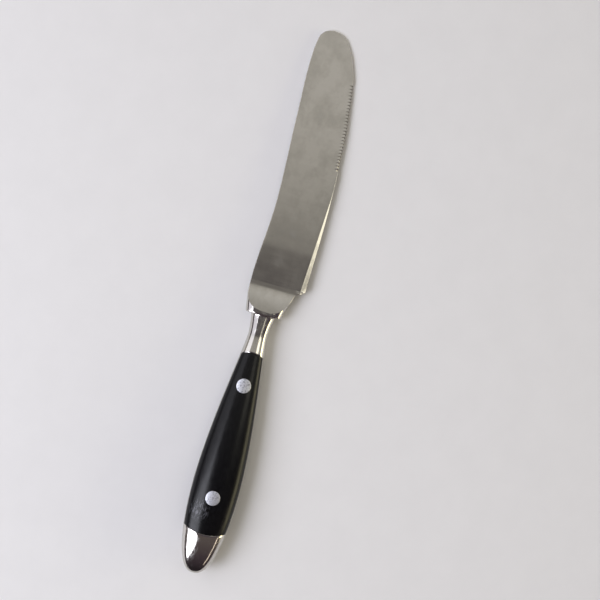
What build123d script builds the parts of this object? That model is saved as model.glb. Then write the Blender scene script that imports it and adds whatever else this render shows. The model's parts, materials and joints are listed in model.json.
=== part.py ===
"""A table-size bread knife with a riveted handle, lying on its side on a table.

The knife is drawn in its own plane, `knife`: x runs from the butt to the tip, y towards the spine and z out
of the blade's flat. That plane leans a little, because the knife lies on its handle's belly and its tip.
The table is the world's z = 0, and the world's origin is below the middle of the knife.
"""

import os
from math import atan, cos, pi, sin, sqrt

from build123d import *

# ---- Driving dimensions, in millimetres -----------------------------------------------------------------

# Overall
handle_length = 105.5  # butt to the step where the shoulder begins
blade_length = 117.5  # that step to the tip

# The handle's swelling: its widths in the plane of the blade, and its thicknesses across it
belly_from_butt = 36.0
belly_width = 19.4
belly_thickness = 12.4
waist_from_step = 8.5
waist_width = 7.9
waist_thickness = 6.6
collar_width = 9.8
collar_thickness = 6.6
nose_power_along = 2.2  # a blunt bullet nose: powers of a superellipse
nose_power_across = 2.4
belly_power = 1.7  # how slowly the belly starts to taper, and how softly it meets the waist
waist_power = 1.25
nose_stations = 9
taper_stations = 7
collar_stations = 3

# Joints between the scales and the steel, curved in plan
rear_joint_from_butt = 16.2
rear_joint_radius = 20.4
front_joint_from_step = 15.5
front_joint_radius = 10.6

# Tang
tang_thickness = 3.0
tang_tenon_width = 4.4
tang_tenon_length = 8.0
pommel_tenon_width = 9.0
pommel_tenon_length = 7.0
tenon_clearance = 0.05

# Rivets: a pin half pressed into a sleeve half
rear_rivet_from_joint = 14.7
front_rivet_from_joint = 13.4
rivet_head_diameter = 6.0
rivet_head_depth = 2.0
rivet_sleeve_diameter = 4.0
rivet_pin_diameter = 2.6
rivet_end_gap = 0.3
rivet_hole_clearance = 0.05
rivet_press_clearance = 0.02

# Shoulder and the seat of the blade's root
shoulder_thickness = 7.4
shoulder_crown_width = 18.6  # full width of the oval that rounds the shoulder's two faces
shoulder_spine_side = [(0.0, 7.3), (6.3, 8.3), (9.6, 8.5)]  # forward of the step, off the axis
shoulder_edge_side = [(0.0, 7.0), (6.2, 8.75), (10.9, 10.3)]
shoulder_rear_fillet = 0.7
seat_from_step = 1.45
seat_radius = 9.85
seat_half_chord = 8.6
blade_tenon_width = 5.0
blade_tenon_thickness = 3.0
blade_tenon_length = 6.0

# Blade
spine_thickness = 1.9
spine_tip_thickness = 1.1
edge_thickness = 0.9  # of the flat at the heel, before the ground facet
ramp_from_step = 11.5  # where the flat starts to rise to the shoulder
heel_from_step = 13.0
heel_drop = 13.75
edge_belly_from_step = 50.0
edge_belly_drop = 14.1
edge_near_tip = [(33.0, 12.4), (14.0, 9.1), (5.6, 5.6), (1.5, 2.4)]  # back from the tip, below the axis
tip_height = 2.5  # the tip's foremost point, above the axis
spine_near_tip = [(1.3, 6.4), (2.9, 7.6), (6.8, 8.45), (12.0, 8.8), (36.0, 8.25)]
spine_dip_from_step = 44.5
spine_dip_height = 7.0
facet_width = 2.0  # ground facet at the heel, on the upper face only; it narrows to nothing at the serrations
facet_length = 51.5
facet_slope = 0.36

# Serrations, measured along the edge from the heel
serration_start = 50.0
serration_run = 35.0
serration_pitch = 1.3
serration_radius = 0.6
serration_depth = 0.35

# ---- Places worked out from them ------------------------------------------------------------------------

step_x = handle_length
tip_x = handle_length + blade_length
waist_x = step_x - waist_from_step
rear_joint_x = rear_joint_from_butt
front_joint_x = step_x - front_joint_from_step
rear_rivet_x = rear_joint_x + rear_rivet_from_joint
front_rivet_x = front_joint_x - front_rivet_from_joint
seat_x = step_x + seat_from_step
seat_centre_x = seat_x + seat_radius
ramp_x = step_x + ramp_from_step
heel_x = step_x + heel_from_step
spine_root = (step_x + shoulder_spine_side[-1][0], shoulder_spine_side[-1][1])

half_tang = tang_thickness / 2
half_shoulder = shoulder_thickness / 2
reach = belly_width + edge_belly_drop  # further than anything stands off the axis
cross_taper = (spine_thickness - edge_thickness) / 2 / (spine_root[1] + heel_drop)
long_taper = (spine_thickness - spine_tip_thickness) / 2 / (tip_x - ramp_x)


def half_size(x, belly, waist, collar):
    """Half of the handle's width or thickness at x, from its sizes at the belly, waist and collar."""
    if x <= belly_from_butt:
        from_belly = (belly_from_butt - x) / belly_from_butt
        return belly / 2 * (1 - from_belly**nose_power_along) ** (1 / nose_power_across)
    if x <= waist_x:
        along = (x - belly_from_butt) / (waist_x - belly_from_butt)
        fall = 1 - (1 - along**belly_power) ** waist_power
        return (belly + (waist - belly) * fall) / 2
    flare = ((x - waist_x) / waist_from_step) ** 2
    return (waist + (collar - waist) * flare) / 2


def half_width(x):
    """Half of the handle's width at x."""
    return half_size(x, belly_width, waist_width, collar_width)


def half_thickness(x):
    """Half of the handle's thickness at x."""
    return half_size(x, belly_thickness, waist_thickness, collar_thickness)


def half_blade(x, y):
    """Half of the blade's thickness on its flat, which tapers to the tip and to the edge."""
    return spine_thickness / 2 - long_taper * (x - ramp_x) - cross_taper * (spine_root[1] - y)


nose_x = [belly_from_butt * (1 - cos(pi / 2 * i / nose_stations)) for i in range(1, nose_stations + 1)]
taper_step = (waist_x - belly_from_butt) / taper_stations
taper_x = [belly_from_butt + taper_step * i for i in range(1, taper_stations + 1)]
collar_step = waist_from_step / collar_stations
collar_x = [waist_x + collar_step * i for i in range(1, collar_stations + 1)]

# The knife's own plane leans so that the handle's underside and the tip's corner both touch the table.
touch_x, touch_y = tip_x - spine_near_tip[0][0], spine_near_tip[0][1]
touch_half = half_blade(touch_x, touch_y)
lean = atan(max((half_thickness(x) - touch_half) / (touch_x - x) for x in nose_x + taper_x))
knife = Plane(
    origin=(
        -tip_x / 2 * cos(lean),
        (edge_belly_drop - belly_width / 2) / 2,
        touch_x * sin(lean) + touch_half * cos(lean),
    ),
    x_dir=(cos(lean), 0, -sin(lean)),
    z_dir=(sin(lean), 0, cos(lean)),
)
upright = Plane(knife.origin, x_dir=knife.x_dir, z_dir=-knife.y_dir)  # along the knife and out of its flat


def cross_section(x):
    """The plane across the knife at x: its x runs to the spine and its y out of the flat."""
    return Plane(knife.from_local_coords((x, 0, 0)), x_dir=knife.y_dir, z_dir=knife.x_dir)


def arc_end(middle_x, radius, half_chord, bulge):
    """Where an arc whose middle is at middle_x stands at half_chord off the axis."""
    return middle_x - bulge * (radius - sqrt(radius**2 - half_chord**2))


# ---- Solids that the pieces are cut from ----------------------------------------------------------------

# The whole handle, from the butt to just inside the shoulder
with BuildPart() as handle_body:
    handle_sections = [Vertex(*knife.origin)]
    for x in nose_x + taper_x + collar_x:
        with BuildSketch(cross_section(x), mode=Mode.PRIVATE) as oval:
            Ellipse(half_width(x), half_thickness(x))
        handle_sections.append(oval.sketch)
    loft(handle_sections)
    extrude(handle_body.faces().sort_by(Axis.X)[-1], amount=seat_from_step / 2)

# What lies behind the scales, ahead of the scales, and ahead of the blade's seat
joint_chord = belly_width / 2 + 1
with BuildPart() as behind_scales:
    with BuildSketch(knife):
        with BuildLine():
            corner_x = arc_end(rear_joint_x, rear_joint_radius, joint_chord, -1)
            ThreePointArc((corner_x, joint_chord), (rear_joint_x, 0), (corner_x, -joint_chord))
            Polyline((corner_x, -joint_chord), (-reach, -joint_chord), (-reach, joint_chord), (corner_x, joint_chord))
        make_face()
    extrude(amount=belly_thickness, both=True)

front_chord = waist_width / 2 + 2
with BuildPart() as ahead_of_scales:
    with BuildSketch(knife):
        with BuildLine():
            corner_x = arc_end(front_joint_x, front_joint_radius, front_chord, 1)
            ThreePointArc((corner_x, front_chord), (front_joint_x, 0), (corner_x, -front_chord))
            Polyline(
                (corner_x, -front_chord),
                (corner_x, -reach),
                (tip_x, -reach),
                (tip_x, reach),
                (corner_x, reach),
                (corner_x, front_chord),
            )
        make_face()
    extrude(amount=belly_thickness, both=True)

with BuildPart() as ahead_of_seat:
    with BuildSketch(knife):
        with BuildLine():
            corner_x = arc_end(seat_x, seat_radius, seat_half_chord, -1)
            ThreePointArc((corner_x, seat_half_chord), (seat_x, 0), (corner_x, -seat_half_chord))
            Polyline(
                (corner_x, -seat_half_chord),
                (corner_x, -reach),
                (tip_x + reach, -reach),
                (tip_x + reach, reach),
                (corner_x, reach),
                (corner_x, seat_half_chord),
            )
        make_face()
    extrude(amount=shoulder_thickness, both=True)

# The outline of the blade and shoulder, seen on the flat
with BuildSketch(knife) as front_outline:
    with BuildLine():
        tip = (tip_x, tip_height)
        heel = (heel_x, -heel_drop)
        spine_curve = [(tip_x - back, height) for back, height in spine_near_tip]
        edge_curve = [(tip_x - back, -drop) for back, drop in edge_near_tip]
        edge = Spline(heel, (step_x + edge_belly_from_step, -edge_belly_drop), *edge_curve, tip)
        Spline(tip, *spine_curve, (step_x + spine_dip_from_step, spine_dip_height), spine_root)
        spine_side = [(step_x + ahead, height) for ahead, height in shoulder_spine_side]
        edge_side = [(step_x + ahead, -drop) for ahead, drop in shoulder_edge_side]
        ThreePointArc(*spine_side)
        ThreePointArc(*edge_side)
        Line(spine_side[0], edge_side[0])
        Line(edge_side[-1], heel)
    make_face()
    teeth = int(serration_run / serration_pitch)
    for tooth in range(teeth + 1):
        along = serration_start + tooth * serration_pitch
        foot = edge.position_at(along, position_mode=PositionMode.LENGTH)
        run = edge.tangent_at(along, position_mode=PositionMode.LENGTH)
        outwards = Vector(run.Y, -run.X) * (serration_radius - serration_depth)
        with Locations(foot + outwards):
            Circle(serration_radius, mode=Mode.SUBTRACT)

# ---- Blade ----------------------------------------------------------------------------------------------

facet_start = (heel_x, -heel_drop + facet_width)
facet_end = (heel_x + facet_length, -edge_belly_drop + facet_width / 5)
facet_start_3d = Vector(*facet_start, half_blade(*facet_start))
facet_end_3d = Vector(*facet_end, half_blade(*facet_end))
facet_run = facet_end_3d - facet_start_3d
facet_plane = Plane(
    knife.from_local_coords(facet_start_3d),
    x_dir=-knife.y_dir,
    z_dir=knife.from_local_coords(facet_end_3d) - knife.from_local_coords(facet_start_3d),
)
with BuildPart() as facet_cut:
    with BuildSketch(facet_plane):
        with BuildLine():
            Polyline((0, 0), (reach, 0), (reach, -reach * facet_slope), close=True)
        make_face()
    extrude(amount=facet_run.length)

with BuildPart() as blade:
    extrude(front_outline.sketch, amount=shoulder_thickness, both=True)
    add(ahead_of_seat, mode=Mode.INTERSECT)
    for side in (1, -1):
        # Above this profile nothing is left: the flat, then the hollow ramp up to the shoulder's crown
        with BuildSketch(upright) as flat_and_ramp:
            with BuildLine():
                flat_start = (ramp_x, side * half_blade(ramp_x, 0))
                flat_end = (tip_x + reach, side * half_blade(tip_x + reach, 0))
                crown = (seat_x, side * half_shoulder)
                Line(flat_end, flat_start)
                TangentArc(flat_start, crown, tangent=(-1, side * long_taper))
                Polyline(
                    crown,
                    (seat_x - 1, side * half_shoulder),
                    (seat_x - 1, -side * reach),
                    (tip_x + reach, -side * reach),
                    flat_end,
                )
            make_face()
        along_flat = knife.y_dir + knife.z_dir * side * cross_taper
        extrude(amount=reach, dir=along_flat, both=True, mode=Mode.INTERSECT)
    add(facet_cut, mode=Mode.SUBTRACT)
    with BuildSketch(knife.offset(-blade_tenon_thickness / 2)):
        with Locations((seat_x, 0)):
            Rectangle(2 * blade_tenon_length, blade_tenon_width)
    extrude(amount=blade_tenon_thickness)
blade.part.label = "blade"

# ---- Neck and shoulder ----------------------------------------------------------------------------------

with BuildPart() as neck_bolster:
    extrude(front_outline.sketch, amount=shoulder_thickness, both=True)
    with BuildSketch(cross_section(step_x)):
        Ellipse(shoulder_crown_width / 2, half_shoulder)
    extrude(amount=seat_from_step + seat_radius, mode=Mode.INTERSECT)
    fillet(neck_bolster.faces().sort_by(Axis.X)[0].edges(), shoulder_rear_fillet)
    add(handle_body)
    add(ahead_of_seat, mode=Mode.SUBTRACT)
    add(ahead_of_scales, mode=Mode.INTERSECT)
    with BuildSketch(cross_section(seat_x + 1)):
        Rectangle(blade_tenon_width + 2 * tenon_clearance, blade_tenon_thickness + 2 * tenon_clearance)
    extrude(amount=-(blade_tenon_length + 1 + tenon_clearance), mode=Mode.SUBTRACT)
    with BuildSketch(cross_section(front_joint_x + tang_tenon_length + tenon_clearance)):
        Rectangle(tang_tenon_width + 2 * tenon_clearance, tang_thickness + 2 * tenon_clearance)
    extrude(amount=-2 * tang_tenon_length, mode=Mode.SUBTRACT)
neck_bolster.part.label = "neck_bolster"

# ---- Pommel ---------------------------------------------------------------------------------------------

with BuildPart() as pommel_cap:
    add(handle_body)
    add(behind_scales, mode=Mode.INTERSECT)
    with BuildSketch(cross_section(rear_joint_x - pommel_tenon_length - tenon_clearance)):
        Rectangle(pommel_tenon_width + 2 * tenon_clearance, tang_thickness + 2 * tenon_clearance)
    extrude(amount=2 * pommel_tenon_length, mode=Mode.SUBTRACT)
pommel_cap.part.label = "pommel_cap"

# ---- Tang -----------------------------------------------------------------------------------------------

rivet_places = [(rear_rivet_x, 0), (front_rivet_x, 0)]
with BuildPart() as tang_plate:
    add(handle_body)
    add(behind_scales, mode=Mode.SUBTRACT)
    add(ahead_of_scales, mode=Mode.SUBTRACT)
    with BuildSketch(knife.offset(-half_tang)):
        with Locations((tip_x / 2, 0)):
            Rectangle(tip_x, reach)
    extrude(amount=tang_thickness, mode=Mode.INTERSECT)
    with BuildSketch(knife.offset(-half_tang)):
        with Locations((front_joint_x, 0)):
            Rectangle(2 * tang_tenon_length, tang_tenon_width)
        with Locations((rear_joint_x, 0)):
            Rectangle(2 * pommel_tenon_length, pommel_tenon_width)
    extrude(amount=tang_thickness)
    with BuildSketch(knife.offset(-half_tang)):
        with Locations(*rivet_places):
            Circle(rivet_sleeve_diameter / 2 + rivet_hole_clearance)
    extrude(amount=tang_thickness, mode=Mode.SUBTRACT)
tang_plate.part.label = "tang_plate"

# ---- Scales ---------------------------------------------------------------------------------------------

with BuildPart() as upper_scale:
    add(handle_body)
    add(behind_scales, mode=Mode.SUBTRACT)
    add(ahead_of_scales, mode=Mode.SUBTRACT)
    with BuildSketch(knife.offset(half_tang)):
        with Locations((tip_x / 2, 0)):
            Rectangle(tip_x, reach)
    extrude(amount=belly_thickness, mode=Mode.INTERSECT)
    for x, y in rivet_places:
        with Locations(Location(knife.offset(half_thickness(x)) * Pos(x, y, 0))):
            CounterBoreHole(
                radius=rivet_sleeve_diameter / 2 + rivet_hole_clearance,
                counter_bore_radius=rivet_head_diameter / 2 + rivet_press_clearance,
                counter_bore_depth=rivet_head_depth,
                depth=half_thickness(x),
            )
upper_scale.part.label = "upper_scale"

with BuildPart() as lower_scale:
    add(mirror(upper_scale.part, about=knife, mode=Mode.PRIVATE))
lower_scale.part.label = "lower_scale"

# ---- Rivets ---------------------------------------------------------------------------------------------

rivet_parts = []
for place, (x, y) in zip(("rear", "front"), rivet_places):
    shelf = half_thickness(x) - rivet_head_depth  # the heads bear on the scales this far from the middle

    with BuildPart() as post:
        with BuildSketch(knife.offset(shelf)):
            with Locations((x, y)):
                Circle(rivet_head_diameter / 2)
        extrude(amount=2 * rivet_head_depth)
        add(handle_body, mode=Mode.INTERSECT)
        with BuildSketch(knife.offset(rivet_end_gap - shelf)):
            with Locations((x, y)):
                Circle(rivet_pin_diameter / 2)
        extrude(amount=2 * shelf)
    post.part.label = f"{place}_rivet_post"

    with BuildPart() as sleeve:
        with BuildSketch(knife.offset(-shelf)):
            with Locations((x, y)):
                Circle(rivet_head_diameter / 2)
        extrude(amount=-2 * rivet_head_depth)
        add(handle_body, mode=Mode.INTERSECT)
        with BuildSketch(knife.offset(-shelf)):
            with Locations((x, y)):
                Circle(rivet_sleeve_diameter / 2)
        extrude(amount=2 * shelf - rivet_end_gap)
        with BuildSketch(knife.offset(-shelf)):
            with Locations((x, y)):
                Circle(rivet_pin_diameter / 2 + rivet_press_clearance)
        extrude(amount=2 * shelf, mode=Mode.SUBTRACT)
    sleeve.part.label = f"{place}_rivet_sleeve"
    rivet_parts += [post.part, sleeve.part]

# ---- Output ---------------------------------------------------------------------------------------------

os.makedirs("parts", exist_ok=True)
steel_parts = [blade.part, neck_bolster.part, pommel_cap.part, tang_plate.part]
for piece in steel_parts + [upper_scale.part, lower_scale.part] + rivet_parts:
    export_step(piece, f"parts/{piece.label}.step")
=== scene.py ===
"""A table-size bread knife with a riveted handle, lying on its side on a pale laminate table.

Every piece is shaped in the knife's own millimetres: x from the butt to the tip, y towards the spine and z
out of the blade's flat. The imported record's grip mount says how that frame lies in the world.
"""

import bisect
import json
import logging
import math
from dataclasses import dataclass, field
from enum import Enum
from typing import Callable, Sequence

import bmesh
import bpy
from bmesh.types import BMEdge, BMesh, BMVert
from bpy.types import Material, Node, NodeSocket, NodeTree, Object
from mathutils import Matrix, Vector
from mathutils.geometry import interpolate_bezier


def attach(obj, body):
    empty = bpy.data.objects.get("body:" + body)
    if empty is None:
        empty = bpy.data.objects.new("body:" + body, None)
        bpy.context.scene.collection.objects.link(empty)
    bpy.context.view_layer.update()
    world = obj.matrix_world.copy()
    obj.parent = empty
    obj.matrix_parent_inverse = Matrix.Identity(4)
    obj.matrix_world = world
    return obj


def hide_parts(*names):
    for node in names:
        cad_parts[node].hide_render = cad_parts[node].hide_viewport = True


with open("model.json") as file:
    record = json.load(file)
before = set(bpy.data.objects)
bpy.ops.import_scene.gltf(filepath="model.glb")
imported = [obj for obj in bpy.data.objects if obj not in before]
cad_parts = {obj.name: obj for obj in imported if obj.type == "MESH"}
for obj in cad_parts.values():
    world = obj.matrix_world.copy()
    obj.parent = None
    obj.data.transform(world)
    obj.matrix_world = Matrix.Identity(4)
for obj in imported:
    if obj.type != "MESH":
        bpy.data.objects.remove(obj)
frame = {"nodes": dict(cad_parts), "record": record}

LOG = logging.getLogger("bread_knife")
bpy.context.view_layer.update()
MM = 0.001
SHARP_EDGE = math.radians(32)
WELD = 1e-5             # millimetres between vertices that are one
BEND_PASSES = 3         # a ring's x depends on its y, and the other way round, so both are settled in turns
Section = Callable[[int], Vector]
Points = tuple[tuple[float, float], ...]
Colour = tuple[float, float, float, float]


class Slot(Enum):
    """The record's material slots."""

    SATIN_STEEL = "satin_steel"
    POLISHED_STEEL = "polished_steel"
    TANG_STEEL = "tang_steel"
    BLACK_SCALE = "black_scale"
    RIVET_METAL = "rivet_metal"


class Face(Enum):
    """Which face of the knife a piece belongs to: the one that looks up, or the one on the table."""

    UPPER = 1
    LOWER = -1


# ---- Shared helpers ----


def linear(hex_code: str) -> Colour:
    """Turn an sRGB hex colour into linear values.

    Args:
        hex_code: the colour, such as "#c0c4c8".

    Returns:
        Linear red, green and blue, and an alpha of 1.
    """
    parts = [int(hex_code[i : i + 2], 16) / 255 for i in (1, 3, 5)]
    red, green, blue = [c / 12.92 if c <= 0.04045 else ((c + 0.055) / 1.055) ** 2.4 for c in parts]
    return red, green, blue, 1.0


def mix(low: float, high: float, share: float) -> float:
    """Blend from low to high, with share held between 0 and 1."""
    return low + (high - low) * min(1.0, max(0.0, share))


def ease(low: float, high: float, value: float) -> float:
    """Return 0 below low and 1 above high, with a smooth rise between."""
    share = min(1.0, max(0.0, (value - low) / (high - low)))
    return share * share * (3 - 2 * share)


def spread(start: float, end: float, count: int) -> list[float]:
    """Return count + 1 evenly spaced values from start to end."""
    return [start + (end - start) * i / count for i in range(count + 1)]


def quarter(count: int) -> list[float]:
    """Return count + 1 evenly spaced angles over a quarter turn."""
    return spread(0, math.pi / 2, count)


def add_node(tree: NodeTree, kind: str, settings: dict | None = None,
             links: dict | None = None) -> Node:
    """Add one shader node.

    Args:
        tree: the node tree to add to.
        kind: the node's type, such as "TexNoise" for Blender's ShaderNodeTexNoise.
        settings: values for the node's attributes or, where it has none by that name, its inputs.
        links: input name or number to the output socket that feeds it.

    Returns:
        The new node.
    """
    node = tree.nodes.new("ShaderNode" + kind)
    for name, value in (settings or {}).items():
        if isinstance(name, str) and hasattr(node, name):
            setattr(node, name, value)
        else:
            node.inputs[name].default_value = value
    for name, socket in (links or {}).items():
        tree.links.new(socket, node.inputs[name])
    return node


def add_object(name: str, data: bpy.types.ID) -> Object:
    """Put new data into the scene as an object of that name.

    Args:
        name: the object's name.
        data: its mesh, light or camera.

    Returns:
        The new object.
    """
    made = bpy.data.objects.new(name, data)
    bpy.context.scene.collection.objects.link(made)
    return made


def ramp(tree: NodeTree, factor: NodeSocket,
         stops: Sequence[tuple[float, str]]) -> NodeSocket:
    """Add a colour ramp and return its colour output.

    Args:
        tree: the node tree to add to.
        factor: the socket that drives the ramp.
        stops: positions with their hex colours, in order.

    Returns:
        The ramp's colour socket.
    """
    node = add_node(tree, "ValToRGB", links={"Fac": factor})
    elements = node.color_ramp.elements
    for element, (position, colour) in zip(elements, (stops[0], stops[-1])):
        element.position, element.color = position, linear(colour)
    for position, colour in stops[1:-1]:
        elements.new(position).color = linear(colour)
    return node.outputs["Color"]


# ---- How the knife lies ----


@dataclass(frozen=True)
class Lie:
    """The knife's own frame in the world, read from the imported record's grip mount."""

    grip_from_butt: float = 53.1

    def matrix(self) -> Matrix:
        """Return the matrix from the knife's millimetres to the world's metres."""
        grip = next(m for m in frame["record"]["mounts"] if m["name"] == "grip")
        along = Vector(grip["axis"]).normalized()
        spinewards = Vector((0, 1, 0))
        outwards = along.cross(spinewards)
        butt = Vector(grip["pos_m"]) - along * self.grip_from_butt * MM
        turn = Matrix((along, spinewards, outwards)).transposed().to_4x4()
        return Matrix.Translation(butt) @ turn @ Matrix.Scale(MM, 4)


class Maker:
    """Turns finished bmeshes into pieces that ride on the frame."""

    def __init__(self, lie: Lie) -> None:
        """Keep the matrix that lays the knife down."""
        self.laid = lie.matrix()

    def piece(self, name: str, shape: BMesh, slot: Slot, material: Material,
              nodes: Sequence[str]) -> Object:
        """Args:
            name: the piece's name.
            shape: its bmesh, in the knife's millimetres; it is freed here.
            slot: the record's slot for the piece's finish; not used.
            material: its material.
            nodes: the CAD nodes that it stands for.

        Returns:
            The new object.
        """
        bmesh.ops.remove_doubles(shape, verts=shape.verts, dist=WELD)
        bmesh.ops.dissolve_degenerate(shape, edges=shape.edges, dist=WELD)
        bmesh.ops.recalc_face_normals(shape, faces=shape.faces)
        self.settle(shape)
        for edge in shape.edges:
            edge.smooth = len(edge.link_faces) == 2 and edge.calc_face_angle(0.0) < SHARP_EDGE
        for face in shape.faces:
            face.smooth = True
        bmesh.ops.transform(shape, matrix=self.laid, verts=shape.verts)
        open_edges = sum(1 for edge in shape.edges if len(edge.link_faces) != 2)
        mesh = bpy.data.meshes.new(name)
        shape.to_mesh(mesh)
        shape.free()
        mesh.materials.append(material)
        made = add_object(name, mesh)
        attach(made, "root")
        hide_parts(*nodes)
        LOG.info("%s: %d faces, %d open edges", name, len(mesh.polygons), open_edges)
        return made

    def settle(self, shape: BMesh) -> None:
        """Sort the faces by their vertices, because growing a shape orders them anew on each run.

        Args:
            shape: the bmesh to sort.
        """
        shape.verts.index_update()
        by_vertices = sorted(shape.faces, key=lambda face: sorted(vert.index for vert in face.verts))
        order = {face: place for place, face in enumerate(by_vertices)}
        shape.faces.sort(key=order.get)


class RingLoft:
    """A closed skin grown ring by ring, by extruding each ring's edges and moving the new vertices."""

    def __init__(self, rows: int) -> None:
        """Start with a circle of that many vertices, each of which knows its row."""
        self.rows = rows
        self.shape = bmesh.new()
        self.row = self.shape.verts.layers.int.new("row")
        made = bmesh.ops.create_circle(self.shape, cap_ends=False, segments=rows, radius=1.0)
        for vert in made["verts"]:
            turn = math.atan2(-vert.co.x, vert.co.y) / (2 * math.pi)
            vert[self.row] = round(turn * rows) % rows
        self.ring: list[BMEdge] = list(self.shape.edges)
        self.started = False

    def add(self, section: Section) -> None:
        """Grow one ring.

        Args:
            section: gives the place of each row's vertex.
        """
        if self.started:
            made = bmesh.ops.extrude_edge_only(self.shape, edges=self.ring)["geom"]
            fresh = {item for item in made if isinstance(item, BMVert)}
            self.ring = [
                item for item in made
                if isinstance(item, BMEdge) and all(v in fresh for v in item.verts)
            ]
        self.started = True
        for vert in {v for edge in self.ring for v in edge.verts}:
            vert.co = section(vert[self.row])


# ---- The handle's form ----


@dataclass(frozen=True)
class HandleForm:
    """The oval swelling body that the pommel, the scales and the neck share, in millimetres."""

    step: float = 105.5
    belly: float = 36.0
    belly_size: tuple[float, float] = (19.4, 12.4)
    waist_back: float = 8.5
    waist_size: tuple[float, float] = (7.9, 6.6)
    collar_size: tuple[float, float] = (9.8, 6.6)
    nose_powers: tuple[float, float] = (2.2, 2.4)
    taper_powers: tuple[float, float] = (1.7, 1.25)
    rear_joint: float = 16.2
    rear_radius: float = 20.4
    front_joint: float = 90.0
    front_radius: float = 10.6
    half_tang: float = 1.5

    def half(self, x: float, way: int) -> float:
        """Return half the handle's size at x.

        Args:
            x: millimetres from the butt.
            way: 0 for the width, 1 for the thickness.

        Returns:
            Half of that size.
        """
        belly, waist, collar = self.belly_size[way], self.waist_size[way], self.collar_size[way]
        if x <= self.belly:
            back = min(1.0, (self.belly - x) / self.belly)
            return belly / 2 * (1 - back ** self.nose_powers[0]) ** (1 / self.nose_powers[1])
        waist_x = self.step - self.waist_back
        if x <= waist_x:
            along = (x - self.belly) / (waist_x - self.belly)
            fall = 1 - (1 - along ** self.taper_powers[0]) ** self.taper_powers[1]
            return (belly + (waist - belly) * fall) / 2
        flare = ((x - waist_x) / self.waist_back) ** 2
        return (waist + (collar - waist) * flare) / 2

    def rear_x(self, y: float) -> float:
        """Where the curved joint between pommel and scales stands at y."""
        return self.rear_joint + self.rear_radius - math.sqrt(self.rear_radius**2 - y * y)

    def front_x(self, y: float) -> float:
        """Where the curved joint between scales and neck stands at y."""
        return self.front_joint - self.front_radius + math.sqrt(self.front_radius**2 - y * y)

    def crown(self, x: float, y: float) -> float:
        """Height of the handle's surface above its middle plane."""
        share = min(1.0, abs(y) / self.half(x, 0))
        return self.half(x, 1) * math.sqrt(1 - share * share)


@dataclass(frozen=True)
class Pommel:
    """The bullet-nosed steel butt."""

    form: HandleForm
    rows: int = 128
    nose_rings: int = 26
    bend_from: float = 5.0
    edge_round: float = 0.15
    round_rings: int = 3
    cap_rings: int = 6

    def section(self, nominal: float, inset: float, shrink: float) -> Section:
        """Return one ring: an oval whose plane bends towards the joint's curve.

        Args:
            nominal: the ring's place on the axis.
            inset: how far the ring is pulled in for the joint's rounded edge.
            shrink: 1 on the skin, down to 0 at the middle of the joint's face.

        Returns:
            The ring as a function of the row.
        """
        bend = ease(self.bend_from, self.form.rear_joint, nominal)

        def place(row: int) -> Vector:
            """Return the place of one row."""
            turn = 2 * math.pi * row / self.rows
            x = nominal
            for _ in range(BEND_PASSES):
                width = self.form.half(x, 0) - inset
                y = width * math.cos(turn) * shrink
                x = nominal + (self.form.rear_x(y) - self.form.rear_joint) * bend
            return Vector((x, y, (self.form.half(x, 1) - inset) * math.sin(turn) * shrink))

        return place

    def build(self) -> BMesh:
        """Grow the pommel from the butt to the joint and across its face."""
        loft = RingLoft(self.rows)
        joint = self.form.rear_joint - self.edge_round
        loft.add(lambda row: Vector((0, 0, 0)))
        for turn in quarter(self.nose_rings)[1:]:
            loft.add(self.section(joint * (1 - math.cos(turn)), 0, 1))
        for turn in quarter(self.round_rings)[1:]:
            inset = self.edge_round * (1 - math.cos(turn))
            loft.add(self.section(joint + self.edge_round * math.sin(turn), inset, 1))
        for shrink in spread(1, 0, self.cap_rings)[1:]:
            loft.add(self.section(self.form.rear_joint, self.edge_round, shrink))
        return loft.shape


@dataclass(frozen=True)
class Scale:
    """One of the two moulded handle scales: an oval back on a flat that lies on the tang."""

    form: HandleForm
    face: Face
    back_rows: int = 100
    flat_rows: int = 28
    rings: int = 90
    edge_round: float = 0.15
    round_rings: int = 3
    cap_rings: int = 5
    steepest_side: float = 0.9

    def section(self, along: float, inset: float, shrink: float) -> Section:
        """Return one ring, D-shaped, between the two curved joints.

        Args:
            along: 0 at the rear joint and 1 at the front joint.
            inset: how far the ring is pulled in for the rounded ends.
            shrink: 1 on the skin, down to 0 at the middle of an end face.

        Returns:
            The ring as a function of the row.
        """
        form = self.form

        def place(row: int) -> Vector:
            """Return the place of one row."""
            x = mix(form.rear_joint, form.front_joint, along)
            for _ in range(BEND_PASSES):
                width, height = form.half(x, 0) - inset, form.half(x, 1) - inset
                low = math.asin(min(self.steepest_side, form.half_tang / height))
                if row < self.back_rows:
                    turn = mix(low, math.pi - low, row / (self.back_rows - 1))
                    y, z = width * math.cos(turn), height * math.sin(turn)
                else:
                    across = (row - self.back_rows + 1) / (self.flat_rows + 1)
                    y, z = width * math.cos(low) * mix(-1, 1, across), form.half_tang
                middle = (form.half_tang + height) / 2
                y, z = y * shrink, middle + (z - middle) * shrink
                x = mix(form.rear_x(y), form.front_x(y), along)
            return Vector((x, y, z * self.face.value))

        return place

    def build(self) -> BMesh:
        """Grow the scale from its rear face to its front face."""
        loft = RingLoft(self.back_rows + self.flat_rows)
        length = self.form.front_joint - self.form.rear_joint
        corner = self.edge_round / length
        for shrink in spread(0, 1, self.cap_rings)[:-1]:
            loft.add(self.section(0, self.edge_round, shrink))
        for turn in quarter(self.round_rings)[:-1]:
            loft.add(self.section(corner * (1 - math.sin(turn)), self.edge_round * (1 - math.sin(turn)), 1))
        for along in spread(corner, 1 - corner, self.rings):
            loft.add(self.section(along, 0, 1))
        for turn in quarter(self.round_rings)[1:]:
            inset = self.edge_round * (1 - math.cos(turn))
            loft.add(self.section(1 - corner * (1 - math.sin(turn)), inset, 1))
        for shrink in spread(1, 0, self.cap_rings)[1:]:
            loft.add(self.section(1, self.edge_round, shrink))
        return loft.shape


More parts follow.
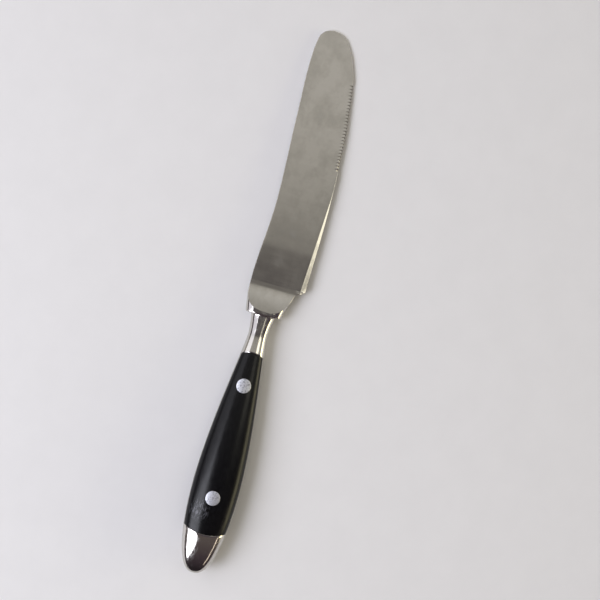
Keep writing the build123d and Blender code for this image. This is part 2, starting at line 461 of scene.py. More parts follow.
# ---- The steel in front of the scales ----


class Outline:
    """A smooth curve in plan through a few points, read as y at a given x."""

    SAME_PLACE = 1e-9

    def __init__(self, points: Sequence[tuple[float, float]], last_run: tuple[float, float] | None = None,
                 steps: int = 60) -> None:
        """Sample the curve.

        Args:
            points: x and y, in order of x.
            last_run: the curve's direction at its last point, where that matters.
            steps: samples on each stretch.
        """
        places = [Vector((x, y, 0)) for x, y in points]
        runs = []
        for i, place in enumerate(places):
            before = place - places[max(0, i - 1)]
            after = places[min(len(places) - 1, i + 1)] - place
            if before.length and after.length:
                blend = before.normalized() * after.length + after.normalized() * before.length
                runs.append(blend / (before.length + after.length))
            else:
                runs.append((before + after).normalized())
        if last_run:
            runs[-1] = Vector((*last_run, 0))
        self.samples: list[tuple[float, float]] = []
        for i in range(len(places) - 1):
            reach = (places[i + 1] - places[i]).length / 3      # a cubic's handles are a third of its length
            handles = (places[i] + runs[i] * reach, places[i + 1] - runs[i + 1] * reach)
            curve = interpolate_bezier(places[i], *handles, places[i + 1], steps)
            self.samples += [(p.x, p.y) for p in curve]
        self.keys = [x for x, _ in self.samples]

    def at(self, x: float) -> float:
        """Return y at x, held at the curve's ends."""
        i = bisect.bisect_left(self.keys, x)
        if i <= 0:
            return self.samples[0][1]
        if i >= len(self.keys):
            return self.samples[-1][1]
        (x0, y0), (x1, y1) = self.samples[i - 1], self.samples[i]
        return y1 if x1 - x0 < self.SAME_PLACE else mix(y0, y1, (x - x0) / (x1 - x0))


@dataclass(frozen=True)
class FrontForm:
    """The blade's and the shoulder's outlines and thicknesses, in millimetres."""

    step: float = 105.5
    length: float = 117.5
    half_shoulder: float = 3.7
    shoulder_power: float = 2.6
    seat: float = 106.95
    horns_end: float = 112.3
    seat_open: float = 0.04
    seat_rings: int = 26
    ricasso_run: float = 10.9
    ramp_from: float = 11.5
    heel_run: float = 13.0
    spine_thickness: float = 1.9
    spine_tip_thickness: float = 1.1
    edge_thickness: float = 0.9
    spine_reach: float = 8.5
    heel_drop: float = 13.75
    tip_height: float = 2.5
    hollow_depth: float = 0.22
    hollow_ends: tuple[float, float] = (118.5, 133.5)
    seat_passes: int = 8
    # Each pair is a distance, ahead of the step or back from the tip, and how far out the outline is there.
    spine_ahead: Points = ((0, 7.3), (6.3, 8.3), (9.6, 8.5), (44.5, 7.0))
    spine_back: Points = ((36, 8.25), (12, 8.8), (6.8, 8.45), (2.9, 7.6), (1.3, 6.4))
    edge_ahead: Points = ((50, 14.1),)
    edge_back: Points = ((33, 12.4), (14, 9.1), (5.6, 5.6), (1.5, 2.4))
    shoulder_ahead: Points = ((0, 7.0), (3.4, 7.7), (6.2, 8.75), (10.9, 10.3))
    spine: Outline = field(init=False)
    edge: Outline = field(init=False)
    shoulder_edge: Outline = field(init=False)

    def __post_init__(self) -> None:
        """Draw the three outlines."""
        spine_back = (*self.spine_back, (0, self.tip_height))
        edge_ahead = ((self.heel_run, self.heel_drop), *self.edge_ahead)
        edge_back = (*self.edge_back, (0, -self.tip_height))
        down = (0, -1)
        for name, ahead, back, last_run in (("spine", self.spine_ahead, spine_back, down),
                                            ("edge", edge_ahead, edge_back, down),
                                            ("shoulder_edge", self.shoulder_ahead, (), None)):
            points = [(self.step + run, out) for run, out in ahead]
            points += [(self.tip - run, out) for run, out in back]
            object.__setattr__(self, name, Outline(points, last_run))

    @property
    def tip(self) -> float:
        """Where the tip is."""
        return self.step + self.length

    @property
    def ricasso_end(self) -> float:
        """Where the slanted step out to the heel begins."""
        return self.step + self.ricasso_run

    @property
    def heel(self) -> float:
        """Where the cutting edge begins."""
        return self.step + self.heel_run

    @property
    def ramp_x(self) -> float:
        """Where the flat starts to rise to the shoulder."""
        return self.step + self.ramp_from

    def drop(self, x: float) -> float:
        """Return how far the steel reaches below the axis at x, teeth left out.

        Args:
            x: place along the knife.

        Returns:
            The distance, as a positive number.
        """
        if x <= self.ricasso_end:
            return self.shoulder_edge.at(x)
        if x < self.heel:
            share = (x - self.ricasso_end) / (self.heel - self.ricasso_end)
            return mix(self.shoulder_edge.at(self.ricasso_end), self.heel_drop, share)
        return self.edge.at(x)

    def flat(self, x: float, y: float) -> float:
        """Return half the blade's thickness on its flat, which tapers to the tip and to the edge.

        Args:
            x: place along the knife.
            y: place across it, towards the spine.

        Returns:
            Half of the thickness.
        """
        long_taper = (self.spine_thickness - self.spine_tip_thickness) / 2 / (self.tip - self.ramp_x)
        cross_taper = (self.spine_thickness - self.edge_thickness) / 2 / (self.spine_reach + self.heel_drop)
        across = cross_taper * (self.spine_reach - y)
        return self.spine_thickness / 2 - long_taper * (x - self.ramp_x) - across

    def hollow(self, x: float) -> float:
        """Return how much the grind has dished the upper face between the ramp and the long flat."""
        start, end = self.hollow_ends
        left = 1 - mix(0, 1, (x - start) / (end - start))
        return self.hollow_depth * ease(self.seat, self.ramp_x, x) * left

    def ramp(self, x: float) -> float:
        """Return how far the hollow ramp to the shoulder stands above the flat at x."""
        run, rise = self.ramp_x - self.seat, self.half_shoulder - self.flat(self.ramp_x, 0)
        radius = (run * run + rise * rise) / (2 * rise)
        back = max(0.0, self.ramp_x - x)
        return radius - math.sqrt(radius * radius - back * back)

    def top(self, x: float, y: float) -> float:
        """Return half the steel's thickness on the flat and the ramp."""
        return self.flat(x, y) + self.ramp(x)

    def seat_share(self, x: float, side: int) -> float:
        """Return where the ramp meets the shoulder's dome, as a share of the half width on that side.

        Args:
            x: place along the knife.
            side: 1 for the spine's side, -1 for the edge's.

        Returns:
            The share, 0 where the seat is still shut.
        """
        if x <= self.seat:
            return 0.0
        width = self.spine.at(x) if side > 0 else -self.drop(x)
        share = 0.5
        for _ in range(self.seat_passes):
            height = min(1.0, self.top(x, share * width) / self.half_shoulder)
            share = (1 - height**self.shoulder_power) ** (1 / self.shoulder_power)
        return share

    def seat_places(self) -> list[float]:
        """Return where the rings stand along the blade's seat, closest together where it starts to open."""
        return [mix(self.seat, self.horns_end, u * u) for u in spread(self.seat_open, 1, self.seat_rings)]


@dataclass(frozen=True)
class NeckBolster:
    """The polished neck, the step out to the shoulder, and the two horns that clasp the blade's root."""

    form: HandleForm
    front: FrontForm
    dome_rows: int = 30
    web_rows: int = 9
    edge_round: float = 0.15
    hollow: float = 0.5
    shoulder_round: float = 0.55
    web: float = 0.3
    round_rings: int = 3
    cap_rings: int = 5
    neck_rings: int = 34
    step_rings: int = 6
    shoulder_rings: int = 6
    straight_from: float = 0.7
    face_shares: tuple[float, float] = (0.24, 0.76)

    @property
    def rows(self) -> int:
        """Rows of a whole ring."""
        return 2 * (2 * self.dome_rows + self.web_rows)

    def section(self, place_x: Callable[[float], float], half: Callable[[float, int], float],
                power: float, shrink: float = 1.0) -> Section:
        """Return one ring, which drops to a thin web where the blade's root sits.

        Args:
            place_x: the ring's x at a given y.
            half: the ring's half width at x on the side of that sign, and its half height for sign 0.
            power: 2 for an oval, more for a fuller section.
            shrink: 1 on the skin, down to 0 in the middle of an end face.

        Returns:
            The ring as a function of the row.
        """
        half_rows = self.rows // 2

        def place(row: int) -> Vector:
            """Return the place of one row."""
            side, step = (1, row) if row < half_rows else (-1, row - half_rows)
            far = step >= self.dome_rows + self.web_rows
            x = place_x(0.0)
            for _ in range(BEND_PASSES):
                middle = step < self.dome_rows + (self.web_rows + 1) // 2
                sign = side if middle else -side
                share = self.front.seat_share(x, sign)
                if far or step < self.dome_rows:
                    count = (half_rows - step) / self.dome_rows if far else step / (self.dome_rows - 1)
                    turn = math.acos(min(1.0, share ** (power / 2))) * count
                    y = sign * math.cos(turn) ** (2 / power) * half(x, sign)
                    z = side * half(x, 0) * max(0.0, math.sin(turn)) ** (2 / power)
                else:
                    across = side * mix(1, -1, (step - self.dome_rows) / (self.web_rows - 1))
                    y = share * across * half(x, sign)
                    z = side * (self.web if share > 0 else half(x, 0))
                x = place_x(y * shrink)
            return Vector((x, y * shrink, z * shrink))

        return place

    def neck_half(self, inset: float) -> Callable[[float, int], float]:
        """Return the neck's half sizes, pulled in by inset."""
        return lambda x, sign: self.form.half(x, 0 if sign else 1) - inset

    def step_half(self, share: float) -> Callable[[float, int], float]:
        """Return half sizes between the neck's collar, at share 0, and the shoulder, at share 1.

        Args:
            share: how far out the step has come.

        Returns:
            The half width on the side of a sign, and the half height for sign 0.
        """

        def half(x: float, sign: int) -> float:
            """Return the half size at x on that side, or the half height for sign 0."""
            step = self.form.step
            small = self.form.half(min(x, step), 0 if sign else 1)
            if sign == 0:
                return mix(small, self.front.half_shoulder, share)
            outline = self.front.spine if sign > 0 else self.front.shoulder_edge
            return mix(small, outline.at(max(x, step)), share)

        return half

    def build(self) -> BMesh:
        """Grow the neck, the step, the shoulder and the horns."""
        form, front = self.form, self.front
        loft = RingLoft(self.rows)
        for shrink in spread(0, 1, self.cap_rings)[:-1]:
            loft.add(self.section(form.front_x, self.neck_half(self.edge_round), 2, shrink))
        for turn in quarter(self.round_rings):
            ahead = self.edge_round * (1 - math.cos(turn))
            inset = self.edge_round * (1 - math.sin(turn))
            loft.add(self.section(lambda y, a=ahead: form.front_x(y) + a, self.neck_half(inset), 2))
        neck_start, neck_end = form.front_joint + self.edge_round, form.step - self.hollow
        for along in spread(0, 1, self.neck_rings)[1:]:
            nominal = mix(neck_start, neck_end, along)
            bend = 1 - ease(0, self.straight_from, along)
            loft.add(self.section(
                lambda y, n=nominal, b=bend: n + (form.front_x(y) - form.front_joint) * b,
                self.neck_half(0), 2))
        for ahead, share in self.step_profile():
            power = mix(2, front.shoulder_power, share)
            loft.add(self.section(lambda y, a=ahead: form.step + a, self.step_half(share), power))
        shoulder_start = form.step + self.shoulder_round
        for x in spread(shoulder_start, front.seat, self.shoulder_rings)[1:] + front.seat_places():
            loft.add(self.section(lambda y, here=x: here, self.step_half(1), front.shoulder_power))
        bmesh.ops.holes_fill(loft.shape, edges=loft.ring, sides=0)
        return loft.shape

    def step_profile(self) -> list[tuple[float, float]]:
        """Return the step's profile, as places ahead of it and shares of the way out to the shoulder."""
        inner, outer = self.face_shares
        turns = quarter(self.step_rings)
        hollow = [(self.hollow * (math.sin(t) - 1), inner * (1 - math.cos(t))) for t in turns]
        face = [(0.0, mix(inner, outer, u)) for u in (0.33, 0.67, 1.0)]
        rounded = [(self.shoulder_round * (1 - math.cos(t)), mix(outer, 1, math.sin(t))) for t in turns[1:]]
        return hollow + face + rounded


@dataclass(frozen=True)
class Blade:
    """The satin blade: flat, hollow ramp, ground facet, scalloped teeth and the root in the shoulder."""

    front: FrontForm
    zone_shares: tuple[float, ...] = (0, 0.08, 0.18, 0.32, 0.5, 0.72, 1.0)
    face_rows: int = 18
    round_rows: int = 5
    spine_round: float = 0.2
    edge_left: float = 0.13
    facet_inner: tuple[float, float] = (11.75, 13.95)
    facet_run: float = 41.0
    facet_slope: float = 0.29
    plain_facet: float = 0.15
    groove: float = 0.6
    teeth_from: float = 168.6
    teeth: int = 27
    pitch: float = 1.3
    depth: float = 0.32
    land: float = 0.12
    rings_per_tooth: int = 12
    teeth_blend_from: float = 160.0
    root_zone: float = 0.1
    most_zone: float = 0.3
    most_curve: float = 0.2
    ring_gap: float = 0.01
    tip_rings: int = 70

    @property
    def face_count(self) -> int:
        """Rows on one face of the blade."""
        return len(self.zone_shares) + self.face_rows + self.round_rows

    def tooth(self, x: float) -> float:
        """Return how deep the scallop is at x, from 0 on a tooth's point to 1 in the middle of a scallop.

        Args:
            x: place along the knife.

        Returns:
            The share of the full depth.
        """
        phase = (x - self.teeth_from) / self.pitch
        if not 0 <= phase < self.teeth:
            return 0.0
        off = (phase % 1 - 0.5) / (0.5 - self.land)
        return math.sqrt(max(0.0, 1 - off * off))

    def facet(self, x: float) -> float:
        """Return the ground facet's width at x."""
        share = (x - self.front.heel) / self.facet_run
        inner = mix(self.facet_inner[0], self.facet_inner[1], share)
        return max(self.plain_facet, self.front.drop(x) - inner)

    def height(self, x: float, y: float, low: float, face: Face) -> float:
        """Return the height of one face near the cutting edge, which is ground from the upper face only.

        Args:
            x: place along the knife.
            y: place across it.
            low: y of the outline at x.
            face: which face.

        Returns:
            The height above the knife's middle plane, measured towards that face.
        """
        front = self.front
        top = front.top(x, y)
        if x <= front.horns_end:
            return top
        inward = y - low
        if x <= front.ricasso_end:
            out = max(0.0, 1 - inward / self.spine_round)
            return top - self.spine_round * (1 - math.sqrt(1 - out**2))
        if face is Face.LOWER:
            return top
        top -= front.hollow(x)
        apex = self.edge_left - front.flat(x, low)
        facet_foot = max(apex, top - self.facet_slope * self.facet(x))
        if x < front.heel:
            return top - self.facet_slope * max(0.0, -y - self.facet_inner[0])
        plain = mix(facet_foot, top, inward / self.facet(x))
        ground = mix(apex, top, inward / self.groove)
        return mix(plain, min(plain, ground), self.tooth(x))

    def section(self, x: float) -> Section:
        """Return the ring across the blade at x."""
        front, count = self.front, self.face_count
        if x <= front.horns_end:
            low, high = -front.seat_share(x, -1) * front.drop(x), front.seat_share(x, 1) * front.spine.at(x)
            zone, curve = self.root_zone * (high - low), 0.0
        else:
            low, high = self.depth * self.tooth(x) - front.drop(x), front.spine.at(x)
            zone, curve = max(self.spine_round, self.groove), self.spine_round
            if x > front.heel:
                zone = mix(self.facet(x), self.groove, ease(self.teeth_blend_from, self.teeth_from, x))
            zone = min(zone, self.most_zone * (high - low))
            curve = min(curve, self.most_curve * (high - low))

        def place(row: int) -> Vector:
            """Return the place of one row."""
            face, step = (Face.UPPER, row) if row < count else (Face.LOWER, 2 * count - 1 - row)
            if step < len(self.zone_shares):
                y = low + zone * self.zone_shares[step]
            elif step < count - self.round_rows:
                along = (step - len(self.zone_shares) + 1) / (self.face_rows + 1)
                y = mix(low + zone, high - curve, along)
            else:
                turn = math.pi / 2 * (step - count + self.round_rows) / (self.round_rows - 1)
                y = high - curve * (1 - math.sin(turn))
                z = self.height(x, y, low, face)
                z -= min(curve, 0.5 * z) * (1 - math.cos(turn))
                return Vector((x, y, z * face.value))
            return Vector((x, y, self.height(x, y, low, face) * face.value))

        return place

    def places(self) -> list[float]:
        """Return where the rings stand, closest together where the shape changes quickly."""
        front = self.front
        teeth_end = self.teeth_from + self.teeth * self.pitch
        gap = self.ring_gap
        stretches = (       # where each stretch starts and ends, and into how many steps it is divided
            (front.horns_end + gap, front.ricasso_end, 12),
            (front.ricasso_end + gap, front.heel, 9),
            (front.heel + gap, front.heel + 4, 8),
            (front.heel + 5, self.teeth_from - 1, 46),
            (self.teeth_from, teeth_end, self.teeth * self.rings_per_tooth),
        )
        # The seat is still shut at its first place, so the root starts at the second, on an upright line.
        places = front.seat_places()[1:]
        for start, end, count in stretches:
            places += spread(start, end, count)
        last = front.tip - teeth_end
        places += [teeth_end + last * math.sin(math.pi / 2 * u) for u in spread(0, 1, self.tip_rings)[1:-1]]
        return places

    def build(self) -> BMesh:
        """Grow the blade from its root to its tip."""
        front = self.front
        loft = RingLoft(2 * self.face_count)
        for x in self.places():
            loft.add(self.section(x))
        loft.add(lambda row: Vector((front.tip, front.tip_height, 0)))
        return loft.shape


# ---- Rivets ----


class RivetHalf(Enum):
    """The two halves of a cutler's rivet."""

    POST = Face.UPPER
    SLEEVE = Face.LOWER


@dataclass(frozen=True)
class Rivet:
    """One half of a two-part rivet, turned and then ground flush with the oval scale."""

    form: HandleForm
    x: float
    half: RivetHalf
    head_radius: float = 2.93
    head_depth: float = 2.0
    sleeve_radius: float = 2.0
    pin_radius: float = 1.3
    end_gap: float = 0.3
    proud: float = 0.06
    rim: float = 0.14
    crown_shares: tuple[float, ...] = (0, 0.1, 0.2, 0.35, 0.5, 0.65, 0.8, 0.9)
    rim_rings: int = 4
    chamfer: float = 0.2
    pin_clearance: float = 0.02
    shelf_margin: float = 1e-3
    segments: int = 96

    def profile(self, shelf: float) -> list[tuple[float, float]]:
        """Return the turned profile, as radius and height, from the middle of the head to the far end.

        Args:
            shelf: the height of the head's underside.

        Returns:
            The profile's points in order.
        """
        head, rim = self.head_radius, self.rim
        top = shelf + self.head_depth
        crown = [(head * u, top) for u in self.crown_shares] + [(head - rim, top)]
        edge = [(head - rim * (1 - math.sin(t)), top - rim * (1 - math.cos(t)))
                for t in quarter(self.rim_rings)[1:]]
        neck, end = [(head, shelf)], self.end_gap - shelf
        if self.half is RivetHalf.POST:
            pin, chamfer = self.pin_radius, self.chamfer
            shank = [(pin, shelf), (pin, end + chamfer), (pin - chamfer, end), (0, end)]
        else:
            sleeve, bore = self.sleeve_radius, self.pin_radius + self.pin_clearance
            shank = [(sleeve, shelf), (sleeve, end), (bore, end), (bore, shelf), (0, shelf)]
        return crown + edge + neck + shank

    def build(self) -> BMesh:
        """Turn the profile and grind the head to the scale's surface."""
        shape = bmesh.new()
        shelf = self.form.half(self.x, 1) - self.head_depth
        verts = [shape.verts.new((radius, 0, height)) for radius, height in self.profile(shelf)]
        edges = [shape.edges.new(pair) for pair in zip(verts, verts[1:])]
        bmesh.ops.spin(shape, geom=verts + edges, cent=(0, 0, 0), axis=(0, 0, 1), angle=2 * math.pi,
                       steps=self.segments, use_merge=True)
        bmesh.ops.remove_doubles(shape, verts=shape.verts, dist=10 * WELD)
        crown = self.form.half(self.x, 1)
        for vert in shape.verts:
            if vert.co.z > shelf + self.shelf_margin:
                surface = self.form.crown(self.x + vert.co.x, vert.co.y)
                vert.co.z += surface - crown + self.proud
        bmesh.ops.translate(shape, vec=(self.x, 0, 0), verts=shape.verts)
        if self.half is RivetHalf.SLEEVE:
            bmesh.ops.scale(shape, vec=(1, 1, -1), verts=shape.verts)
            bmesh.ops.reverse_faces(shape, faces=shape.faces)
        return shape


# ---- Finishes ----


@dataclass(frozen=True)
class Finish:
    """What every finish shares: a principled surface fed by patterns measured in millimetres."""

    name: str
    colour: str
    roughness: float

    def start(self, metallic: float = 0.0) -> tuple[Material, NodeTree, Node]:
        """Make the material with an empty tree and its surface.

        Args:
            metallic: 1 for a metal, 0 for a plastic.

        Returns:
            The material, its node tree and the principled node.
        """
        material = bpy.data.materials.new(self.name)
        material.use_nodes = True
        tree = material.node_tree
        tree.nodes.clear()
        surface = add_node(tree, "BsdfPrincipled",
                           {"Base Color": linear(self.colour), "Roughness": self.roughness})
        surface.inputs["Metallic"].default_value = metallic
        add_node(tree, "OutputMaterial", links={"Surface": surface.outputs["BSDF"]})
        return material, tree, surface

    def millimetres(self, tree: NodeTree, along: float, across: float) -> NodeSocket:
        """Return Object coordinates with a pattern cell of along by across millimetres.

        Args:
            tree: the node tree to add to.
            along: the cell's length along the knife.
            across: its width and height.

        Returns:
            The coordinates' socket.
        """
        where = add_node(tree, "TexCoord")
        cells = (1 / (MM * along), 1 / (MM * across), 1 / (MM * across))
        node = add_node(tree, "Mapping", {"Scale": cells}, {"Vector": where.outputs["Object"]})
        return node.outputs["Vector"]

    def noise(self, tree: NodeTree, along: float, across: float, detail: float = 2.0,
              rough: float = 0.5) -> NodeSocket:
        """Return a noise whose cells measure along by across millimetres.

        Args:
            tree: the node tree to add to.
            along: the cells' length along the knife.
            across: their width and height.
            detail: how many finer layers the noise has.
            rough: how strong those are.

        Returns:
            The noise's socket.
        """
        node = add_node(tree, "TexNoise", {"Scale": 1.0, "Detail": detail, "Roughness": rough},
                        {"Vector": self.millimetres(tree, along, across)})
        return node.outputs["Fac"]

    def spread_over(self, tree: NodeTree, factor: NodeSocket, low: float, high: float,
                    start: float = 0.35, end: float = 0.65) -> NodeSocket:
        """Return low where the factor is at start, high where it is at end, and a blend between."""
        limits = {"From Min": start, "From Max": end, "To Min": low, "To Max": high}
        return add_node(tree, "MapRange", limits, {"Value": factor}).outputs["Result"]

    def bump(self, tree: NodeTree, surface: Node, height: NodeSocket,
             depth: float) -> None:
        """Raise the surface by height times depth millimetres.

        Args:
            tree: the node tree to add to.
            surface: the principled node.
            height: the pattern.
            depth: how high its full strength stands.
        """
        node = add_node(tree, "Bump", {"Strength": 1.0, "Distance": depth * MM},
                        {"Height": height})
        tree.links.new(node.outputs["Normal"], surface.inputs["Normal"])


@dataclass(frozen=True)
class SatinBladeSteel(Finish):
    """Rolled cutlery steel with a glazed satin grind, wiped and handled."""

    name: str = "satin_ground_cutlery_steel"
    colour: str = "#c9c6c0"
    roughness: float = 0.12
    line_width: float = 0.12
    line_length: float = 6.0
    smudge: float = 9.0
    wave: tuple[float, float] = (5.0, 60.0)
    wave_share: float = 14.0

    def build(self) -> Material:
        """Make the blade's steel: a soft sheen, crossed by faint grind lines and dulled by smudges."""
        material, tree, surface = self.start(metallic=1.0)
        lines = self.noise(tree, self.line_width, self.line_length, 3.0)
        smudges = self.noise(tree, self.smudge, self.smudge * 0.8, 5.0, 0.6)
        # Fine lines across the blade break the sheen up into a satin one.
        grain = self.spread_over(tree, lines, -0.02, 0.02)
        # Finger marks dull patches about a centimetre wide.
        dull = self.spread_over(tree, smudges, self.roughness - 0.02, self.roughness + 0.08, 0.42, 0.66)
        total = add_node(tree, "Math", {"operation": "ADD"}, {0: grain, 1: dull})
        tree.links.new(total.outputs["Value"], surface.inputs["Roughness"])
        tint = ramp(tree, smudges, [(0.4, self.colour), (0.62, "#c0bdb6"), (0.75, "#c4c2bd")])
        tree.links.new(tint, surface.inputs["Base Color"])
        waves = self.noise(tree, *self.wave)
        height = add_node(tree, "Math", {"operation": "MULTIPLY_ADD", 1: self.wave_share},
                          {0: waves, 2: lines})
        # The grinder's passes leave long shallow waves that lie across the blade.
        self.bump(tree, surface, height.outputs["Value"], 0.0008)
        return material


@dataclass(frozen=True)
class PolishedSteel(Finish):
    """The same steel, buffed to a mirror and then lived with."""

    name: str = "buffed_mirror_steel"
    colour: str = "#cdcac4"
    roughness: float = 0.1

    def build(self) -> Material:
        """Make the polished steel: a mirror with hairline scratches and a few hazy spots."""
        material, tree, surface = self.start(metallic=1.0)
        hairlines = self.noise(tree, 2.4, 0.05, 2.0)
        haze = self.noise(tree, 2.2, 1.6, 4.0, 0.65)
        # Haze spots a couple of millimetres wide soften the mirror here and there.
        cloudy = self.spread_over(tree, haze, self.roughness - 0.03, self.roughness + 0.14, 0.42, 0.7)
        tree.links.new(cloudy, surface.inputs["Roughness"])
        # Hairlines from washing up catch the light along the handle.
        self.bump(tree, surface, hairlines, 0.0006)
        return material


@dataclass(frozen=True)
class GroundTangSteel(Finish):
    """The tang's edge, ground flush with the scales."""

    name: str = "ground_tang_steel"
    colour: str = "#b9b6b0"
    roughness: float = 0.26

    def build(self) -> Material:
        """Make the tang's steel: lengthwise belt marks on a dull shine."""
        material, tree, surface = self.start(metallic=1.0)
        belt = self.noise(tree, 6.0, 0.08, 3.0)
        # Belt marks run along the tang's edge and stretch its highlight.
        rough = self.spread_over(tree, belt, self.roughness - 0.05, self.roughness + 0.1)
        tree.links.new(rough, surface.inputs["Roughness"])
        self.bump(tree, surface, belt, 0.0012)
        return material


@dataclass(frozen=True)
class MouldedAcetal(Finish):
    """Black acetal, moulded and then worn to a soft sheen."""

    name: str = "moulded_black_acetal"
    colour: str = "#08080a"
    roughness: float = 0.22
    # Pale grey scratches gather round one patch on the upper scale: they are scuffs, but their pale grey is
    # partly a painted highlight.
    scuff_and_highlight_middle: tuple[float, float, float] = (-0.086, 0.0063, 0.0115)
    scuff_and_highlight_reach: float = 0.0048
    scuff_and_highlight_colour: str = "#7c7c84"
    refraction: float = 1.48
    sheen: float = 0.26

    def build(self) -> Material:
        """Make the scales' plastic: nearly black, with a soft highlight, fine grain and grey scuffs whose
        pale grey is partly a painted highlight.
        """
        material, tree, surface = self.start()
        surface.inputs["IOR"].default_value = self.refraction
        surface.inputs["Specular IOR Level"].default_value = self.sheen
        grain = self.noise(tree, 0.22, 0.16, 3.0, 0.6)
        wear = self.noise(tree, 3.2, 2.0, 4.0, 0.65)
        # Handling has polished some patches and dulled others.
        rough = self.spread_over(tree, wear, self.roughness - 0.02, self.roughness + 0.05, 0.38, 0.64)
        tree.links.new(rough, surface.inputs["Roughness"])
        # The scratches are tinted pale grey, partly as scuffs and partly as a painted highlight.
        scuffs_and_highlight = self.scuffs_and_highlight(tree)
        tint = add_node(tree, "Mix", {"data_type": "RGBA", 6: linear(self.colour),
                                                7: linear(self.scuff_and_highlight_colour)}, {0: scuffs_and_highlight})
        tree.links.new(tint.outputs[2], surface.inputs["Base Color"])
        # The mould's fine grain keeps the highlight from looking like glass.
        self.bump(tree, surface, grain, 0.0015)
        return material

    def scuffs_and_highlight(self, tree: NodeTree) -> NodeSocket:
        """Return where the pale marks go: short scratches, gathered round one patch on the upper scale,
        partly real scuffs and partly a painted highlight.
        """
        where = add_node(tree, "TexCoord")
        off = add_node(tree, "VectorMath", {"operation": "DISTANCE", 1: self.scuff_and_highlight_middle},
                       {0: where.outputs["Object"]})
        near = self.spread_over(tree, off.outputs["Value"], 1.0, 0.02, 0.001, self.scuff_and_highlight_reach)
        scratches = self.noise(tree, 1.6, 0.5, 3.0, 0.6)
        marks = self.spread_over(tree, scratches, 0.0, 0.8, 0.5, 0.64)
        both = add_node(tree, "Math", {"operation": "MULTIPLY"}, {0: near, 1: marks})
        return both.outputs["Value"]


@dataclass(frozen=True)
class RivetAluminium(Finish):
    """Aluminium rivet heads, ground with the scales and pitted by washing."""

    name: str = "ground_rivet_aluminium"
    colour: str = "#c9cbd3"
    roughness: float = 0.42

    def build(self) -> Material:
        """Make the rivets' metal: pale and matt, with dark pits and bright specks."""
        material, tree, surface = self.start(metallic=0.85)
        pits = self.noise(tree, 0.8, 0.6, 4.0, 0.75)
        # Pits up to half a millimetre wide show as dark specks on the pale metal.
        tint = ramp(tree, pits, [(0.38, "#85868f"), (0.45, self.colour), (0.66, "#dfe0e6")])
        tree.links.new(tint, surface.inputs["Base Color"])
        rough = self.spread_over(tree, pits, self.roughness + 0.1, self.roughness - 0.06)
        tree.links.new(rough, surface.inputs["Roughness"])
        self.bump(tree, surface, pits, 0.004)
        return material


@dataclass(frozen=True)
class LaminateTable(Finish):
    """A pale laminate table top, wiped clean."""

    name: str = "pale_laminate"
    colour: str = "#e9e8e8"
    roughness: float = 0.5

    def build(self) -> Material:
        """Make the table top: nearly white, with a faint mottle."""
        material, tree, surface = self.start()
        mottle = self.noise(tree, 14.0, 14.0, 4.0, 0.6)
        tint = ramp(tree, mottle, [(0.35, "#e7e6e6"), (0.65, self.colour)])
        tree.links.new(tint, surface.inputs["Base Color"])
        return material


# ---- The studio ----


@dataclass(frozen=True)
class Lamp:
    """A rectangular light that looks at the knife."""

    name: str
    turn: float
    height: float
    distance: float
    size: tuple[float, float]
    watts: float
    colour: str

    def build(self) -> None:
        """Hang the light at its bearing and height, both in degrees, hidden from the camera."""
        bearing, height = math.radians(self.turn), math.radians(self.height)
        level = math.cos(height)
        way = Vector((math.cos(bearing) * level, math.sin(bearing) * level, math.sin(height)))
        data = bpy.data.lights.new(self.name, "AREA")
        data.shape, data.size, data.size_y = "RECTANGLE", *self.size
        data.energy, data.color = self.watts, linear(self.colour)[:3]
        lamp = add_object(self.name, data)
        lamp.location = way * self.distance
        lamp.rotation_euler = way.to_track_quat("Z", "Y").to_euler()
        lamp.visible_camera = False


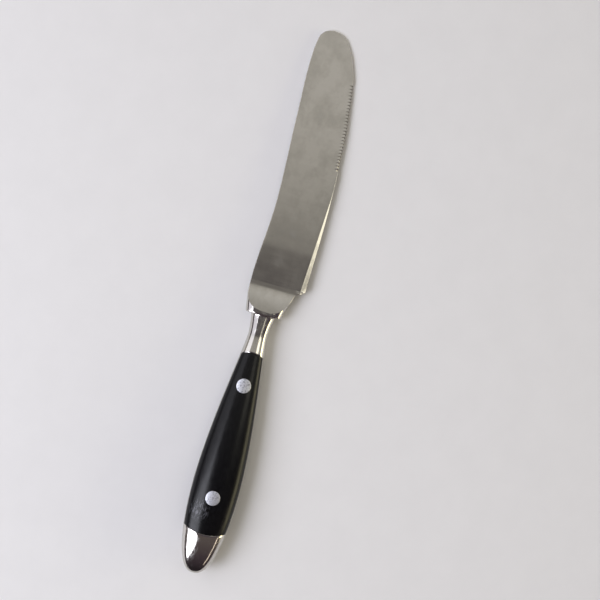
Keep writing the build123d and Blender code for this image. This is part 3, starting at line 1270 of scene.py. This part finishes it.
@dataclass(frozen=True)
class Studio:
    """The table, the window, the room's reflection in the steel, and the camera over the knife."""

    lean_in_frame: float = 15.3
    over: tuple[float, float] = (0.0039, -0.0103)
    camera_height: float = 0.602
    lens: float = 90.0
    table_radius: float = 1.6
    # Bearing and height in degrees, distance and size in metres, watts and colour.
    lamps: tuple[Lamp, ...] = (
        Lamp("window", 119, 42, 1.2, (0.6, 0.87), 10.8, "#f2f4ff"),
        Lamp("pale_wall", 76, 40, 1.2, (0.9, 0.87), 2.6, "#eeeefa"),
        Lamp("low_doorway", -78, 10, 2.0, (2.2, 0.62), 17.0, "#fff5c8"),
        Lamp("lit_shelf", -78, 56, 0.9, (0.15, 0.32), 0.25, "#fffae6"),
        Lamp("far_strip", -122, 24, 0.9, (0.55, 0.036), 0.15, "#ffeedb"),
    )
    # What the steel mirrors, from the butt's end of the room to the tip's.
    room_stops: tuple[tuple[float, str], ...] = (
        (0.08, "#2e282c"), (0.25, "#4a4046"), (0.36, "#685f5c"), (0.48, "#504852"), (0.515, "#5e5a5c"),
        (0.535, "#777370"), (0.55, "#989590"), (0.5725, "#bdbab4"), (0.6, "#cecbc6"), (0.7, "#d6d4d0"),
        (1.0, "#a9a6a1"))

    def build(self) -> None:
        """Set everything up around the knife."""
        self.floor()
        for lamp in self.lamps:
            lamp.build()
        self.room()
        self.camera()
        bpy.context.scene.view_settings.view_transform = "Standard"

    def floor(self) -> None:
        """Lay the round table top."""
        shape = bmesh.new()
        bmesh.ops.create_circle(shape, cap_ends=True, segments=96, radius=self.table_radius)
        mesh = bpy.data.meshes.new("table_top")
        shape.to_mesh(mesh)
        shape.free()
        mesh.materials.append(LaminateTable().build())
        add_object("table_top", mesh)

    def room(self) -> None:
        """Light the room as the steel reflects it: dim overhead, brighter towards the tip's end."""
        world = bpy.data.worlds.new("room")
        world.use_nodes = True
        tree = world.node_tree
        tree.nodes.clear()
        where = add_node(tree, "TexCoord")
        parts = add_node(tree, "SeparateXYZ", links={"Vector": where.outputs["Generated"]})
        share = add_node(tree, "MapRange", {"From Min": -1.0, "From Max": 1.0},
                         {"Value": parts.outputs["X"]})
        colour = ramp(tree, share.outputs["Result"], self.room_stops)
        back = add_node(tree, "Background", {"Strength": 1.0}, {"Color": colour})
        add_node(tree, "OutputWorld", links={"Surface": back.outputs["Background"]})
        bpy.context.scene.world = world

    def camera(self) -> None:
        """Look straight down, with the knife leaning to the right in the frame."""
        lean = math.radians(self.lean_in_frame)
        right = Vector((math.sin(lean), -math.cos(lean), 0))
        up = Vector((math.cos(lean), math.sin(lean), 0))
        data = bpy.data.cameras.new("overhead")
        data.lens = self.lens
        camera = add_object("overhead", data)
        turn = Matrix((right, up, Vector((0, 0, 1)))).transposed().to_4x4()
        camera.matrix_world = Matrix.Translation((*self.over, self.camera_height)) @ turn
        bpy.context.scene.camera = camera


# ---- The knife ----


@dataclass(frozen=True)
class BreadKnife:
    """The whole knife, assembled piece by piece."""

    form: HandleForm = HandleForm()
    front: FrontForm = FrontForm()
    rear_rivet: float = 30.9
    front_rivet: float = 76.6

    def build(self) -> None:
        """Make every piece and dress the tang, which stays as the frame has it."""
        maker = Maker(Lie())
        polished, black, rivet = PolishedSteel().build(), MouldedAcetal().build(), RivetAluminium().build()
        satin, tang = SatinBladeSteel().build(), GroundTangSteel().build()
        maker.piece("pommel", Pommel(self.form).build(), Slot.POLISHED_STEEL, polished, ["pommel_cap"])
        maker.piece("neck_and_shoulder", NeckBolster(self.form, self.front).build(), Slot.POLISHED_STEEL,
                    polished, ["neck_bolster"])
        maker.piece("serrated_blade", Blade(self.front).build(), Slot.SATIN_STEEL, satin, ["blade"])
        for face, name in ((Face.UPPER, "upper"), (Face.LOWER, "lower")):
            maker.piece(f"{name}_handle_scale", Scale(self.form, face).build(), Slot.BLACK_SCALE, black,
                        [f"{name}_scale"])
        for place, x in (("rear", self.rear_rivet), ("front", self.front_rivet)):
            for half, end in ((RivetHalf.POST, "post"), (RivetHalf.SLEEVE, "sleeve")):
                maker.piece(f"{place}_rivet_head_{end}", Rivet(self.form, x, half).build(), Slot.RIVET_METAL,
                            rivet, [f"{place}_rivet_{end}"])
        bar = frame["nodes"]["tang_plate"]
        bar.data.materials.clear()
        bar.data.materials.append(tang)


def main() -> None:
    """Build the knife and the studio."""
    logging.basicConfig(level=logging.INFO, format="%(name)s: %(message)s")
    BreadKnife().build()
    Studio().build()


if __name__ == "__main__":
    main()
